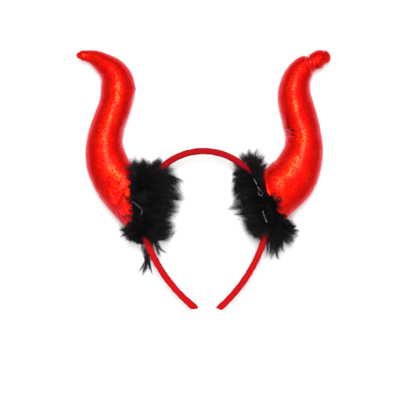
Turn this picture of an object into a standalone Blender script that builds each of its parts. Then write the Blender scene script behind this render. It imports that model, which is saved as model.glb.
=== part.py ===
"""Devil horns headband: a fabric-covered hair band that carries two stuffed metallic-fabric horns,
each with a muff of black down feathers round its seat on the band.

The headband lies on its back on a surface, as it does when nobody wears it. X runs across the head,
+Y from the band's tips to its crown, and +Z up from the surface. Everything is first built with the
crown of the band's centreline at X = Y = 0, and then set with the middle of its base at the origin.
"""

import math
import random
from collections import namedtuple

import bmesh
import bpy
import numpy as np
from mathutils import Matrix, Vector

MM = 0.001

# Clearance between two pieces that touch on the real object
FIT_GAP = 0.35 * MM

# Hair band: three arcs a side, from the crown to the tip behind the ear
BAND_WIDTH = 10 * MM
BAND_THICKNESS = 5.6 * MM
BAND_EDGE_RADIUS = 2.3 * MM
CROWN_RADIUS = 58 * MM
CROWN_SWEEP = math.radians(57)
SIDE_RADIUS = 66 * MM
SIDE_SWEEP = math.radians(51)
LEG_RADIUS = 143 * MM
LEG_SWEEP = math.radians(33)
CROWN_FLAT = 7 * MM
BAND_STEP = 7.5 * MM
BAND_TIP_LENGTH = 8 * MM
BAND_CORNER_POINTS = 3

# Horns: both have the same girth, and each has its own reach and rise from its seat
SEAT_SWEEP = math.radians(22)
HORN_WIDTH = 33 * MM
HORN_DEPTH = 31 * MM
HORN_BASE_WIDTH = 60 * MM
HORN_BASE_DEPTH = 38 * MM
HORN_SEAT_LIFT = 6 * MM
HORN_SETTLE_REACH = 45 * MM
HORN_SINK = 0.8 * MM
LEFT_HORN_REACH = 83 * MM
LEFT_HORN_RISE = 132 * MM
RIGHT_HORN_REACH = 92 * MM
RIGHT_HORN_RISE = 122 * MM
HORN_BEND_START = 0.22
HORN_RINGS = 38
HORN_SIDES = 24

# Feather muffs: the packed down, and the locks that stand out of it
MUFF_RADIUS = 33 * MM
MUFF_REACH = 21 * MM
MUFF_WALL = 2.5 * MM
MUFF_FLOOR_WALL = 3 * MM
MUFF_RIM_PULL = 0.5
LOCK_LENGTH = 16.5 * MM
LOCK_STRAY = 0.16
MUFF_COLUMNS = 36

# One ring of the band's end: distance from the tip as a share of BAND_TIP_LENGTH, and its size
TipRing = namedtuple("TipRing", "back size")
BAND_TIP = (
    TipRing(1.00, 1.00),
    TipRing(0.45, 0.97),
    TipRing(0.16, 0.84),
    TipRing(0.03, 0.58),
)

# One section of a horn, from its seat to its tip. out and up are shares of the horn's reach and rise,
# girth is a share of the body's width and depth, flare goes from 1 at the base's size to 0 at the
# body's, and lift is a share of HORN_DEPTH that the underside stands above the surface.
HornSection = namedtuple("HornSection", "out up girth flare lift")
LEFT_HORN = (
    HornSection(0.000, 0.000, 0.90, 0.85, 0.00),
    HornSection(0.045, 0.010, 1.00, 0.94, 0.00),
    HornSection(0.113, 0.034, 1.00, 0.81, 0.00),
    HornSection(0.247, 0.098, 1.00, 0.54, 0.00),
    HornSection(0.394, 0.185, 1.00, 0.36, 0.00),
    HornSection(0.489, 0.282, 1.00, 0.24, 0.00),
    HornSection(0.535, 0.368, 1.00, 0.12, 0.00),
    HornSection(0.544, 0.455, 1.00, 0.02, 0.00),
    HornSection(0.534, 0.545, 0.97, 0.00, 0.00),
    HornSection(0.509, 0.634, 0.95, 0.00, 0.00),
    HornSection(0.489, 0.717, 0.96, 0.00, 0.00),
    HornSection(0.488, 0.796, 1.00, 0.00, 0.00),
    HornSection(0.524, 0.873, 0.94, 0.00, 0.00),
    HornSection(0.604, 0.934, 0.78, 0.00, 0.04),
    HornSection(0.707, 0.970, 0.61, 0.00, 0.10),
    HornSection(0.835, 0.998, 0.43, 0.00, 0.18),
    HornSection(0.930, 1.000, 0.32, 0.00, 0.24),
    HornSection(0.976, 0.998, 0.24, 0.00, 0.28),
    HornSection(1.000, 0.996, 0.12, 0.00, 0.32),
)
RIGHT_HORN = (
    HornSection(0.000, 0.000, 0.90, 0.85, 0.00),
    HornSection(0.045, 0.004, 1.00, 0.98, 0.00),
    HornSection(0.101, 0.025, 1.00, 0.83, 0.00),
    HornSection(0.225, 0.080, 1.00, 0.60, 0.00),
    HornSection(0.355, 0.145, 1.00, 0.50, 0.00),
    HornSection(0.445, 0.230, 1.00, 0.33, 0.00),
    HornSection(0.511, 0.315, 1.00, 0.19, 0.00),
    HornSection(0.541, 0.405, 1.00, 0.08, 0.00),
    HornSection(0.552, 0.500, 1.00, 0.03, 0.00),
    HornSection(0.546, 0.597, 1.02, 0.00, 0.00),
    HornSection(0.542, 0.693, 1.03, 0.00, 0.00),
    HornSection(0.559, 0.785, 0.95, 0.00, 0.00),
    HornSection(0.603, 0.870, 0.85, 0.00, 0.02),
    HornSection(0.672, 0.932, 0.73, 0.00, 0.06),
    HornSection(0.738, 0.966, 0.62, 0.00, 0.10),
    HornSection(0.802, 0.980, 0.49, 0.00, 0.16),
    HornSection(0.850, 0.990, 0.44, 0.00, 0.20),
    HornSection(0.902, 0.999, 0.43, 0.00, 0.22),
    HornSection(0.955, 1.003, 0.34, 0.00, 0.24),
    HornSection(0.986, 1.000, 0.23, 0.00, 0.26),
    HornSection(1.000, 0.998, 0.12, 0.00, 0.30),
)

# One crease of a horn: its place along the horn, the side of the section it is deepest on (0 is the
# outer side and 180 the side towards the head), half its length round the section, half its width
# along the horn as a share of HORN_WIDTH, and its depth as a share of the section's half width.
Crease = namedtuple("Crease", "along side spread width depth")
LEFT_CREASES = (
    Crease(0.130, 55, 45, 0.11, 0.06),
    Crease(0.215, 50, 40, 0.11, 0.05),
)
RIGHT_CREASES = (
    Crease(0.395, 160, 60, 0.08, 0.11),
    Crease(0.450, 160, 55, 0.08, 0.10),
    Crease(0.510, 155, 45, 0.08, 0.07),
    Crease(0.897, 70, 150, 0.07, 0.24),
)

# One row of a muff, from its rim over the horn to the middle of the side towards the head. out is a
# share of MUFF_REACH, radius of MUFF_RADIUS, and lock of LOCK_LENGTH.
MuffRow = namedtuple("MuffRow", "out radius lock")
MUFF_ROWS = (
    MuffRow(0.55, 0.50, 0.00),
    MuffRow(0.66, 0.78, 0.00),
    MuffRow(0.68, 0.93, 0.45),
    MuffRow(0.50, 1.03, 0.00),
    MuffRow(0.26, 1.06, 0.90),
    MuffRow(0.02, 1.07, 0.00),
    MuffRow(-0.22, 1.03, 1.00),
    MuffRow(-0.45, 0.95, 0.00),
    MuffRow(-0.64, 0.83, 0.95),
    MuffRow(-0.79, 0.68, 0.00),
    MuffRow(-0.90, 0.50, 0.80),
    MuffRow(-0.97, 0.28, 0.00),
)

# How a muff lies along its seat: shift is how far out its middle is, lean how far out it moves for
# each unit up, and fan how much more its rim over the horn leans than its middle does.
MuffLie = namedtuple("MuffLie", "shift lean fan")
LEFT_MUFF = MuffLie(-3 * MM, 0.08, 0.04)
RIGHT_MUFF = MuffLie(-1.5 * MM, -0.27, -0.15)

BAND_HEIGHT = HORN_SEAT_LIFT + HORN_BASE_DEPTH / 2


def make_material(name, colour, roughness, metallic):
    """A plain surface of one colour."""
    material = bpy.data.materials.new(name)
    material.use_nodes = True
    shader = material.node_tree.nodes["Principled BSDF"]
    shader.inputs["Base Color"].default_value = (*colour, 1)
    shader.inputs["Roughness"].default_value = roughness
    shader.inputs["Metallic"].default_value = metallic
    return material


def add_object(name, rings, material=None, grow=0.0):
    """An object skinned over rings of points, each ring with as many points, with its ends capped.

    With grow, its skin then stands out by that much all round.
    """
    mesh = bmesh.new()
    loops = [[mesh.verts.new(point) for point in ring] for ring in rings]
    for first, second in zip(loops, loops[1:]):
        for i in range(len(first)):
            j = (i + 1) % len(first)
            mesh.faces.new((first[i], first[j], second[j], second[i]))
    mesh.faces.new(reversed(loops[0]))
    mesh.faces.new(loops[-1])
    bmesh.ops.recalc_face_normals(mesh, faces=mesh.faces)
    mesh.normal_update()
    steps = [vertex.normal * grow * vertex.calc_shell_factor() for vertex in mesh.verts]
    for vertex, step in zip(mesh.verts, steps):
        vertex.co += step
    data = bpy.data.meshes.new(name)
    mesh.to_mesh(data)
    mesh.free()
    data.shade_smooth()
    data.set_sharp_from_angle(angle=math.radians(40))
    thing = bpy.data.objects.new(name, data)
    bpy.context.scene.collection.objects.link(thing)
    if material:
        data.materials.append(material)
    return thing


def smooth_curve(knots, values, at):
    """A natural cubic spline through values (one row a knot), read at each place in at."""
    knots, values = np.array(knots, float), np.array(values, float)
    steps = np.diff(knots)
    count = len(knots)
    system, right = np.eye(count), np.zeros_like(values)
    for i in range(1, count - 1):
        system[i, i - 1 : i + 2] = steps[i - 1], 2 * (steps[i - 1] + steps[i]), steps[i]
        slopes = np.diff(values[i - 1 : i + 2], axis=0) / steps[i - 1 : i + 1, None]
        right[i] = 6 * (slopes[1] - slopes[0])
    bend = np.linalg.solve(system, right)
    place = np.clip(np.searchsorted(knots, at, side="right") - 1, 0, count - 2)
    step = steps[place][:, None]
    after = (np.array(at)[:, None] - knots[place][:, None]) / step
    before = 1 - after
    curve = before * values[place] + after * values[place + 1]
    sag = (before**3 - before) * bend[place] + (after**3 - after) * bend[place + 1]
    return curve + sag * step**2 / 6


def band_point(length):
    """The band's centreline at this length from the crown, to the right of it if length is positive.

    Gives the point and the direction straight out of the head there.
    """
    side = math.copysign(1, length)
    left = abs(length)
    x = y = heading = 0.0
    for radius, sweep in (
        (CROWN_RADIUS, CROWN_SWEEP),
        (SIDE_RADIUS, SIDE_SWEEP),
        (LEG_RADIUS, LEG_SWEEP),
    ):
        turn = min(sweep, left / radius)
        x += radius * (math.sin(heading + turn) - math.sin(heading))
        y -= radius * (math.cos(heading) - math.cos(heading + turn))
        heading += turn
        left -= turn * radius
    return Vector((side * x, y)), Vector((side * math.sin(heading), math.cos(heading)))


def band_section(size):
    """Points round the band's section, as (out of the head, along Z), with its edges rounded."""
    half_out = BAND_THICKNESS / 2 * size
    half_wide = BAND_WIDTH / 2 * size
    rounding = BAND_EDGE_RADIUS * size
    points = []
    for corner, (out, wide) in enumerate(((1, 1), (-1, 1), (-1, -1), (1, -1))):
        for i in range(BAND_CORNER_POINTS):
            angle = math.pi / 2 * (corner + i / (BAND_CORNER_POINTS - 1))
            points.append(
                (
                    out * (half_out - rounding) + rounding * math.cos(angle),
                    wide * (half_wide - rounding) + rounding * math.sin(angle),
                )
            )
    return points


def add_band(name, material=None, grow=0.0):
    """The band, or with grow the room that it needs in what holds it."""
    half = CROWN_RADIUS * CROWN_SWEEP + SIDE_RADIUS * SIDE_SWEEP + LEG_RADIUS * LEG_SWEEP
    start, end = CROWN_FLAT / 2, half - BAND_TIP_LENGTH
    steps = round((end - start) / BAND_STEP)
    stations = [(start + (end - start) * i / steps, 1.0) for i in range(steps)]
    stations += [(half - ring.back * BAND_TIP_LENGTH, ring.size) for ring in BAND_TIP]
    rings = []
    for length, size in [(-s, z) for s, z in reversed(stations)] + stations:
        point, outward = band_point(length)
        ring = band_section(size)
        rings.append([(*(point + outward * out), BAND_HEIGHT + wide) for out, wide in ring])
    return add_object(name, rings, material, grow)


def seat_matrix(side):
    """Where a horn is sewn to the band: X straight out of the head, Y up the side, Z up."""
    length = CROWN_RADIUS * CROWN_SWEEP + SIDE_RADIUS * SEAT_SWEEP
    point, outward = band_point(side * length)
    turn = math.atan2(outward.y, side * outward.x)
    place = Matrix.Translation((*point, 0))
    return place @ Matrix.Rotation(side * turn, 4, "Z")


def horn_sections(table, reach, rise, creases):
    """The horn's length, the places (0 to 1) of its sections, and a row for each of them.

    A row is out, up, half width, half depth and lift, and the direction across the section.
    """
    points = np.array([(row.out * reach, row.up * rise) for row in table])
    lengths = np.concatenate([[0], np.cumsum(np.linalg.norm(np.diff(points, axis=0), axis=1))])
    places = lengths / lengths[-1]
    flare_width, flare_depth = HORN_BASE_WIDTH - HORN_WIDTH, HORN_BASE_DEPTH - HORN_DEPTH
    rows = [
        (
            *point,
            (HORN_WIDTH * row.girth + flare_width * row.flare) / 2,
            (HORN_DEPTH * row.girth + flare_depth * row.flare) / 2,
            HORN_DEPTH * row.lift,
        )
        for point, row in zip(points, table)
    ]
    stations = {*np.linspace(0, 1, HORN_RINGS), *places[:2], *places[-3:]}
    for crease in creases:
        width = crease.width * HORN_WIDTH / lengths[-1]
        near = {s for s in stations if abs(s - crease.along) < 0.9 * width}
        stations = stations - near | {crease.along - width, crease.along, crease.along + width}
    stations = np.array(sorted(stations))
    sections = smooth_curve(places, rows, stations)
    ahead = np.gradient(sections[:, :2], stations, axis=0)
    ahead /= np.linalg.norm(ahead, axis=1)[:, None]
    straight = np.clip(1 - stations / HORN_BEND_START, 0, 1)[:, None]
    ahead = ahead * (1 - straight) + np.array([1, 0]) * straight
    ahead /= np.linalg.norm(ahead, axis=1)[:, None]
    return lengths[-1], stations, np.column_stack([sections, ahead[:, 1], -ahead[:, 0]])


def crease_depth(creases, place, angle, length):
    """How much of a section's radius the creases take away at this place and angle."""
    taken = 0.0
    for crease in creases:
        along = (place - crease.along) * length / (crease.width * HORN_WIDTH)
        off = math.degrees(angle) - crease.side
        round_by = abs((off + 180) % 360 - 180) / crease.spread
        if round_by < 1:
            taken += crease.depth * math.exp(-1.5 * along**2) * math.cos(math.pi / 2 * round_by) ** 2
    return taken


def horn_rings(side, table, reach, rise, creases):
    """Rings of a horn in its seat's frame, lying on the surface on its own flattened belly."""
    length, places, sections = horn_sections(table, reach, rise, creases)
    rings = []
    for place, section in zip(places, sections):
        half_width, half_depth, lift = section[2:5]
        point, across = section[:2], section[5:]
        settled = min(section[0] / HORN_SETTLE_REACH, 1)
        underside = lift + HORN_SEAT_LIFT * (1 - settled) - HORN_SINK * settled
        ring = []
        for i in range(HORN_SIDES):
            angle = 2 * math.pi * (i + 0.5) / HORN_SIDES
            kept = 1 - crease_depth(creases, place, angle, length)
            spot = point + across * math.cos(angle) * half_width * kept
            z = underside + half_depth * (1 + math.sin(angle) * kept)
            ring.append((side * spot[0], spot[1], max(z, 0)))
        rings.append(ring)
    return rings


def add_horn(name, side, horn, material=None, grow=0.0):
    """One stuffed horn on its seat, or with grow the room that it needs in what holds it."""
    thing = add_object(name, horn_rings(side, *horn), material, grow)
    thing.matrix_world = seat_matrix(side)
    return thing


def muff_rings(side, lie, seed):
    """Rings of a feather muff in its seat's frame: every other point is the tip of a lock."""
    chance = random.Random(seed)
    top = HORN_BASE_DEPTH / 2 + MUFF_WALL
    bottom = HORN_BASE_DEPTH / 2 + MUFF_FLOOR_WALL
    rings = []
    for number, row in enumerate(MUFF_ROWS):
        ring = []
        for column in range(MUFF_COLUMNS):
            angle = 2 * math.pi * column / MUFF_COLUMNS
            under = max(0, -math.sin(angle))
            reach = MUFF_REACH * row.out * (1 - MUFF_RIM_PULL * under * (row.out > 0))
            up = MUFF_RADIUS * row.radius * math.cos(angle)
            high = (bottom * math.sqrt(row.radius) if under else top * row.radius) * math.sin(angle)
            root = Vector((reach, up, high))
            if row.lock and (column + number // 2) % 2 == 0:
                way = Vector((row.out * 0.9, math.cos(angle) * row.radius, math.sin(angle) * row.radius))
                way += Vector([chance.uniform(-LOCK_STRAY, LOCK_STRAY) for _ in range(3)])
                root += way.normalized() * LOCK_LENGTH * row.lock * chance.uniform(0.75, 1.15)
            z = max(root.z + BAND_HEIGHT, 0)
            out = root.x + lie.shift + (lie.lean + lie.fan * row.out) * root.y
            ring.append((side * out, root.y, z))
        rings.append(ring)
    return rings


def cut(thing, cutter):
    """Takes the shape of cutter out of thing, and hides cutter."""
    difference = thing.modifiers.new("cut_" + cutter.name, "BOOLEAN")
    difference.operation = "DIFFERENCE"
    difference.solver = "EXACT"
    difference.object = cutter
    cutter.hide_render = True
    cutter.display_type = "WIRE"


def keep_main_body(thing):
    """Applies the cuts, and drops the small offcuts of locks that the horn's skin cuts off."""
    graph = bpy.context.evaluated_depsgraph_get()
    data = bpy.data.meshes.new_from_object(thing.evaluated_get(graph))
    thing.modifiers.clear()
    thing.data = data
    mesh = bmesh.new()
    mesh.from_mesh(data)
    bmesh.ops.triangulate(mesh, faces=mesh.faces)
    left, bodies = set(mesh.faces), []
    while left:
        body, rim = set(), {left.pop()}
        while rim:
            body |= rim
            rim = {near for face in rim for edge in face.edges for near in edge.link_faces} - body
        left -= body
        bodies.append(body)
    bodies.sort(key=len)
    offcuts = [face for body in bodies[:-1] for face in body]
    bmesh.ops.delete(mesh, geom=offcuts, context="FACES")
    mesh.to_mesh(data)
    mesh.free()


def add_muff(name, side, material, lie, seed, horn, band_cutter):
    """One feather muff round a horn's seat, with room in it for the horn and the band."""
    thing = add_object(name, muff_rings(side, lie, seed), material)
    thing.matrix_world = seat_matrix(side)
    cut(thing, add_horn(name + "_horn_room", side, horn, grow=FIT_GAP))
    cut(thing, band_cutter)
    keep_main_body(thing)
    return thing


def centre_on_base(things):
    """Parents everything to one empty, set so that the middle of the base is at the origin."""
    graph = bpy.context.evaluated_depsgraph_get()
    corners = [
        thing.matrix_world @ vertex.co
        for thing in things
        for vertex in thing.evaluated_get(graph).data.vertices
    ]
    low = [min(corner[i] for corner in corners) for i in range(3)]
    high = [max(corner[i] for corner in corners) for i in range(3)]
    frame = bpy.data.objects.new("devil_horns_headband", None)
    bpy.context.scene.collection.objects.link(frame)
    for thing in bpy.data.objects:
        if thing.type == "MESH":
            thing.parent = frame
    frame.location = (-(low[0] + high[0]) / 2, -(low[1] + high[1]) / 2, -low[2])


def build():
    for thing in list(bpy.data.objects):
        bpy.data.objects.remove(thing)

    red_cloth = make_material("band_cloth", (0.62, 0.005, 0.012), 0.85, 0.0)
    red_lame = make_material("metallic_fabric", (0.80, 0.010, 0.008), 0.32, 0.8)
    black_down = make_material("down_feathers", (0.008, 0.007, 0.009), 0.9, 0.0)

    band = add_band("headband", red_cloth)
    band_room = add_band("band_room", grow=FIT_GAP)

    left_horn = (LEFT_HORN, LEFT_HORN_REACH, LEFT_HORN_RISE, LEFT_CREASES)
    right_horn = (RIGHT_HORN, RIGHT_HORN_REACH, RIGHT_HORN_RISE, RIGHT_CREASES)
    horns = [
        add_horn("horn_left", -1, left_horn, red_lame),
        add_horn("horn_right", 1, right_horn, red_lame),
    ]
    for horn in horns:
        cut(horn, band_room)

    bpy.context.view_layer.update()
    muffs = [
        add_muff("feather_muff_left", -1, black_down, LEFT_MUFF, 4, left_horn, band_room),
        add_muff("feather_muff_right", 1, black_down, RIGHT_MUFF, 8, right_horn, band_room),
    ]
    bpy.context.view_layer.update()
    centre_on_base([band, *horns, *muffs])


build()
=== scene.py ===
"""Dresses the devil horns headband: stuffed horns of red foil fabric, black down muffs and a cloth band.

It lies on its back on a pale surface. Lengths are in metres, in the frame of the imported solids.
"""

from __future__ import annotations

import logging
import math
from dataclasses import dataclass
from enum import Enum
from typing import Any, Callable, Sequence

import bpy
import numpy as np
from mathutils import Euler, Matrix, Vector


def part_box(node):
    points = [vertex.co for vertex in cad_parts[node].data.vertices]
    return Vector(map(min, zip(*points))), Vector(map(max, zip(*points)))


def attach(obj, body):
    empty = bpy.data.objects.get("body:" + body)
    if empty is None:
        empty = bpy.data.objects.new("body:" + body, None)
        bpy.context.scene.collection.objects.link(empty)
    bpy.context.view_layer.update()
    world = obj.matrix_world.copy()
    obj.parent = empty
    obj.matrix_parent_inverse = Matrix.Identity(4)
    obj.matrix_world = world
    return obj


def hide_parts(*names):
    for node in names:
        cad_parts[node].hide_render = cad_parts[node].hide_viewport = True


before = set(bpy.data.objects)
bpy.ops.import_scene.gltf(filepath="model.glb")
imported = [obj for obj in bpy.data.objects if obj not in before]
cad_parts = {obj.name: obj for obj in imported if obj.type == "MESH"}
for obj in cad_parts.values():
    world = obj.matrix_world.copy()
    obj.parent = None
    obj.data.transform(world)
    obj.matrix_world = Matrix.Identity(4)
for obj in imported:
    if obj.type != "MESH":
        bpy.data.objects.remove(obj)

log = logging.getLogger("headband")
MM = 0.001
UPWARD = np.array([0, 0, 1.0])
Colour = tuple[float, float, float]


class Value:
    """A number socket that Python's arithmetic builds Math nodes on."""

    def __init__(self, graph: "Graph", socket: bpy.types.NodeSocket) -> None:
        """Wraps the output socket of a node in graph."""
        self.graph = graph
        self.socket = socket

    def math(self, operation: str, *others: Any, swap: bool = False) -> "Value":
        """Adds a Math node.

        Args:
            operation: the node's operation.
            others: its other inputs, as values or numbers.
            swap: puts this value second, for reflected operators.

        Returns:
            The node's result.
        """
        inputs = [self, *others][::-1] if swap else [self, *others]
        node = self.graph.node("ShaderNodeMath", {"operation": operation}, dict(enumerate(inputs)))
        return Value(self.graph, node.outputs[0])

    def __add__(self, other: Any) -> "Value":
        """Sum."""
        return self.math("ADD", other)

    __radd__ = __add__

    def __sub__(self, other: Any) -> "Value":
        """Difference."""
        return self.math("SUBTRACT", other)

    def __rsub__(self, other: Any) -> "Value":
        """Difference from a number."""
        return self.math("SUBTRACT", other, swap=True)

    def __mul__(self, other: Any) -> "Value":
        """Product."""
        return self.math("MULTIPLY", other)

    __rmul__ = __mul__

    def clamp(self, low: float = 0.0, high: float = 1.0) -> "Value":
        """Keeps the value between low and high."""
        return self.math("MAXIMUM", low).math("MINIMUM", high)

    def ease(self, low: float, high: float) -> "Value":
        """Goes smoothly from 0 at low to 1 at high."""
        return self.graph.value(
            "ShaderNodeMapRange",
            {"interpolation_type": "SMOOTHSTEP"},
            {"Value": self, "From Min": low, "From Max": high},
        )


class Graph:
    """A node tree that is filled by expressions."""

    def __init__(self, tree: bpy.types.NodeTree) -> None:
        """Empties the tree."""
        self.tree = tree
        tree.nodes.clear()

    def node(self, kind: str, settings: dict[str, Any], sockets: dict[Any, Any]) -> bpy.types.Node:
        """Adds any node.

        Args:
            kind: the node's type.
            settings: what is set before its sockets.
            sockets: values or links of its inputs, by name or number.

        Returns:
            The node.
        """
        node = self.tree.nodes.new(kind)
        for name, setting in settings.items():
            setattr(node, name, setting)
        for key, given in sockets.items():
            if isinstance(given, Value):
                self.tree.links.new(given.socket, node.inputs[key])
            elif isinstance(given, bpy.types.NodeSocket):
                self.tree.links.new(given, node.inputs[key])
            elif isinstance(given, tuple) and node.inputs[key].type == "RGBA":
                node.inputs[key].default_value = (*given, 1)
            else:
                node.inputs[key].default_value = given
        return node

    def value(self, kind: str, settings: dict[str, Any], sockets: dict[Any, Any], out: Any = 0) -> Value:
        """Adds a node and gives one of its outputs as a value."""
        return Value(self, self.node(kind, settings, sockets).outputs[out])

    def place(self) -> bpy.types.NodeSocket:
        """The point on the piece, in metres."""
        return self.node("ShaderNodeTexCoord", {}, {}).outputs["Object"]

    def noise(self, size: float, detail: float = 2.0, rough: float = 0.5, at: Any = None) -> Value:
        """Soft noise from 0 to 1 with features of about this size in metres."""
        sockets = {"Vector": at or self.place(), "Scale": 1 / size, "Detail": detail, "Roughness": rough}
        return self.value("ShaderNodeTexNoise", {}, sockets, "Fac")

    def mix(self, share: Any, first: Any, second: Any) -> bpy.types.NodeSocket:
        """Mixes two colours by a share of the second."""
        return self.node("ShaderNodeMix", {"data_type": "RGBA"}, {0: share, 6: first, 7: second}).outputs[2]

    def mottle(self, first: Value, second: Value, colours: tuple[Colour, Colour]) -> bpy.types.NodeSocket:
        """Mixes a dark and a light colour by two eased noises, the first of them the stronger."""
        return self.mix((first * 0.6 + second * 0.4).clamp(), *colours)

    def vector(self, operation: str, first: Any, second: Any) -> bpy.types.NodeSocket:
        """Adds a Vector Math node of two inputs."""
        return self.node("ShaderNodeVectorMath", {"operation": operation}, {0: first, 1: second}).outputs[0]

    def bump(self, height: Value, depth: float, strength: float = 1.0, normal: Any = None) -> Any:
        """A normal that is raised by height times depth metres.

        Args:
            height: how high each point stands, from 0 to 1.
            depth: the height of 1, in metres.
            strength: how much of it shows.
            normal: the normal it is laid over, if there is one.

        Returns:
            The Bump node's normal.
        """
        sockets = {"Height": height, "Distance": depth, "Strength": strength}
        if normal is not None:
            sockets["Normal"] = normal
        return self.node("ShaderNodeBump", {}, sockets).outputs[0]


class Shader(Graph):
    """A material with one Principled shader."""

    def __init__(self, name: str, slot: str) -> None:
        """Makes a material, and keeps the name of a slot of the record with it.

        Args:
            name: the material's name.
            slot: the slot's name in the record.
        """
        self.material = bpy.data.materials.new(name)
        self.material.use_nodes = True
        self.slot = slot
        super().__init__(self.material.node_tree)

    def finish(self, **sockets: Any) -> "Shader":
        """Sets or links the Principled shader's inputs, with _ for a space in their names.

        Args:
            sockets: numbers, colours, values or links.

        Returns:
            The shader itself, ready for use.
        """
        named = {key.replace("_", " "): given for key, given in sockets.items()}
        surface = self.node("ShaderNodeBsdfPrincipled", {}, named)
        self.node("ShaderNodeOutputMaterial", {}, {"Surface": surface.outputs[0]})
        return self


@dataclass(frozen=True)
class FoilFabric:
    """Red fabric printed with metal foil, with a fine broken grain that glitters."""

    bright: Colour = (0.66, 0.0015, 0.0011)
    deep: Colour = (0.52, 0.0006, 0.0022)
    gold: Colour = (0.70, 0.0155, 0.0024)
    edge: Colour = (0.55, 0.95, 1.0)
    bloom: Colour = (0.7, 0.25, 0.55)
    grain: float = 1.0 * MM
    fine_grain: float = 0.45 * MM
    grain_depth: float = 0.08 * MM
    cloud: float = 16 * MM
    fleck: float = 1.1 * MM
    tilt: float = 0.055
    rough: float = 0.26
    sheen: float = 0.20
    sheen_rough: float = 0.38
    wrinkle_step: float = 1.5 * MM
    wrinkle_run: float = 13 * MM
    wrinkle_depth: float = 0.35 * MM

    def shader(self) -> Shader:
        """Builds the material.

        Returns:
            The material's shader.
        """
        s = Shader("foil_fabric", "metallic_fabric")
        grain = s.noise(self.grain, 3.0, 0.65)
        cloud = s.noise(self.cloud)
        cell = s.node("ShaderNodeTexVoronoi", {}, {"Vector": s.place(), "Scale": 1 / self.fleck})
        way = s.vector("SUBTRACT", cell.outputs["Color"], (0.5, 0.5, 0.5))
        turned = s.node("ShaderNodeVectorMath", {"operation": "SCALE"}, {0: way, "Scale": self.tilt})
        face = s.node("ShaderNodeNewGeometry", {}, {}).outputs["Normal"]
        tilted = s.vector("ADD", face, turned.outputs[0])
        facet = s.node("ShaderNodeVectorMath", {"operation": "NORMALIZE"}, {0: tilted})
        pick = Value(s, s.node("ShaderNodeSeparateColor", {}, {0: cell.outputs["Color"]}).outputs[0])
        flecks = pick.ease(0.10, 0.90) * grain.ease(0.30, 0.6) * (cloud.ease(0.35, 0.65) * 0.6 + 0.5)
        red = s.mottle(grain.ease(0.3, 0.7), cloud.ease(0.3, 0.7), (self.deep, self.bright))
        skin = s.node("ShaderNodeAttribute", {"attribute_name": "skin"}, {}).outputs["Vector"]
        gather = Value(s, s.node("ShaderNodeAttribute", {"attribute_name": "gather"}, {}).outputs["Fac"])
        stretch = (1 / self.wrinkle_run, 1 / self.wrinkle_step, 0.0)
        pleats = s.noise(1.0, 2.0, 0.4, s.vector("MULTIPLY", skin, stretch)).ease(0.30, 0.70)
        relief = grain * 0.6 + s.noise(self.fine_grain, 1.0) * 0.4
        normal = s.bump(relief, self.grain_depth, 0.8, facet.outputs[0])
        return s.finish(
            Base_Color=s.mix(flecks.clamp(), red, self.gold),
            Metallic=1.0,
            Roughness=self.rough + grain * 0.10 - flecks * 0.06,
            Normal=s.bump(pleats * gather, self.wrinkle_depth, 1.0, normal),
            Specular_Tint=self.edge,
            Sheen_Weight=self.sheen,
            Sheen_Roughness=self.sheen_rough,
            Sheen_Tint=self.bloom,
        )


@dataclass(frozen=True)
class BandCloth:
    """Red velvety cloth with a short pile, mottled, and darker towards the crown."""

    lit: Colour = (0.27, 0.0003, 0.0016)
    shade: Colour = (0.17, 0.0003, 0.0018)
    # the darker colour that the cloth takes towards the crown
    crown_dark: Colour = (0.14, 0.0004, 0.0026)
    bloom: Colour = (1.0, 0.03, 0.05)
    pile: float = 0.55 * MM
    pile_depth: float = 0.22 * MM
    patch: float = 5 * MM
    # where along Y the darkening towards the crown starts and ends, and how strong it is
    darken_from: float = -50 * MM
    darken_to: float = 20 * MM
    darkening: float = 0.75
    rough: float = 0.72
    sheen: float = 0.07
    sheen_rough: float = 0.35
    gloss: float = 0.04

    def shader(self) -> Shader:
        """Builds the material.

        Returns:
            The material's shader.
        """
        s = Shader("band_cloth", "band_cloth")
        pile = s.noise(self.pile, 3.0, 0.6)
        patch = s.noise(self.patch)
        colour = s.mottle(pile.ease(0.3, 0.7), patch.ease(0.3, 0.7), (self.shade, self.lit))
        high = Value(s, s.node("ShaderNodeSeparateXYZ", {}, {0: s.place()}).outputs[1])
        return s.finish(
            # the colour darkens towards the crown, up the Y axis
            Base_Color=s.mix(high.ease(self.darken_from, self.darken_to) * self.darkening, colour, self.crown_dark),
            Roughness=self.rough + pile * 0.18,
            Normal=s.bump(pile, self.pile_depth, 0.9),
            Sheen_Weight=self.sheen,
            Sheen_Roughness=self.sheen_rough,
            Sheen_Tint=self.bloom,
            Specular_IOR_Level=self.gloss,
        )


@dataclass(frozen=True)
class BlackDown:
    """Dyed down: nearly black, with a soft grey lustre on the barbs."""

    name: str = "black_down"
    dark: Colour = (0.0010, 0.0008, 0.0012)
    light: Colour = (0.0042, 0.0034, 0.0046)
    rough: float = 0.5
    gloss: float = 0.08
    streak: float = 1.6 * MM
    streak_depth: float = 0.3 * MM
    patch: float = 11 * MM

    def shader(self) -> Shader:
        """Builds the material.

        Returns:
            The material's shader.
        """
        s = Shader(self.name, "down_feathers")
        streak = s.noise(self.streak, 3.0, 0.6)
        patch = s.noise(self.patch, 1.0)
        lustre = streak.ease(0.35, 0.75) * 0.7 + patch.ease(0.4, 0.7) * 0.3
        colour = s.mix(lustre.clamp(), self.dark, self.light)
        return s.finish(
            Base_Color=colour,
            Roughness=self.rough + streak * 0.2,
            Normal=s.bump(streak, self.streak_depth, 0.5),
            Specular_IOR_Level=self.gloss,
        )


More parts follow.
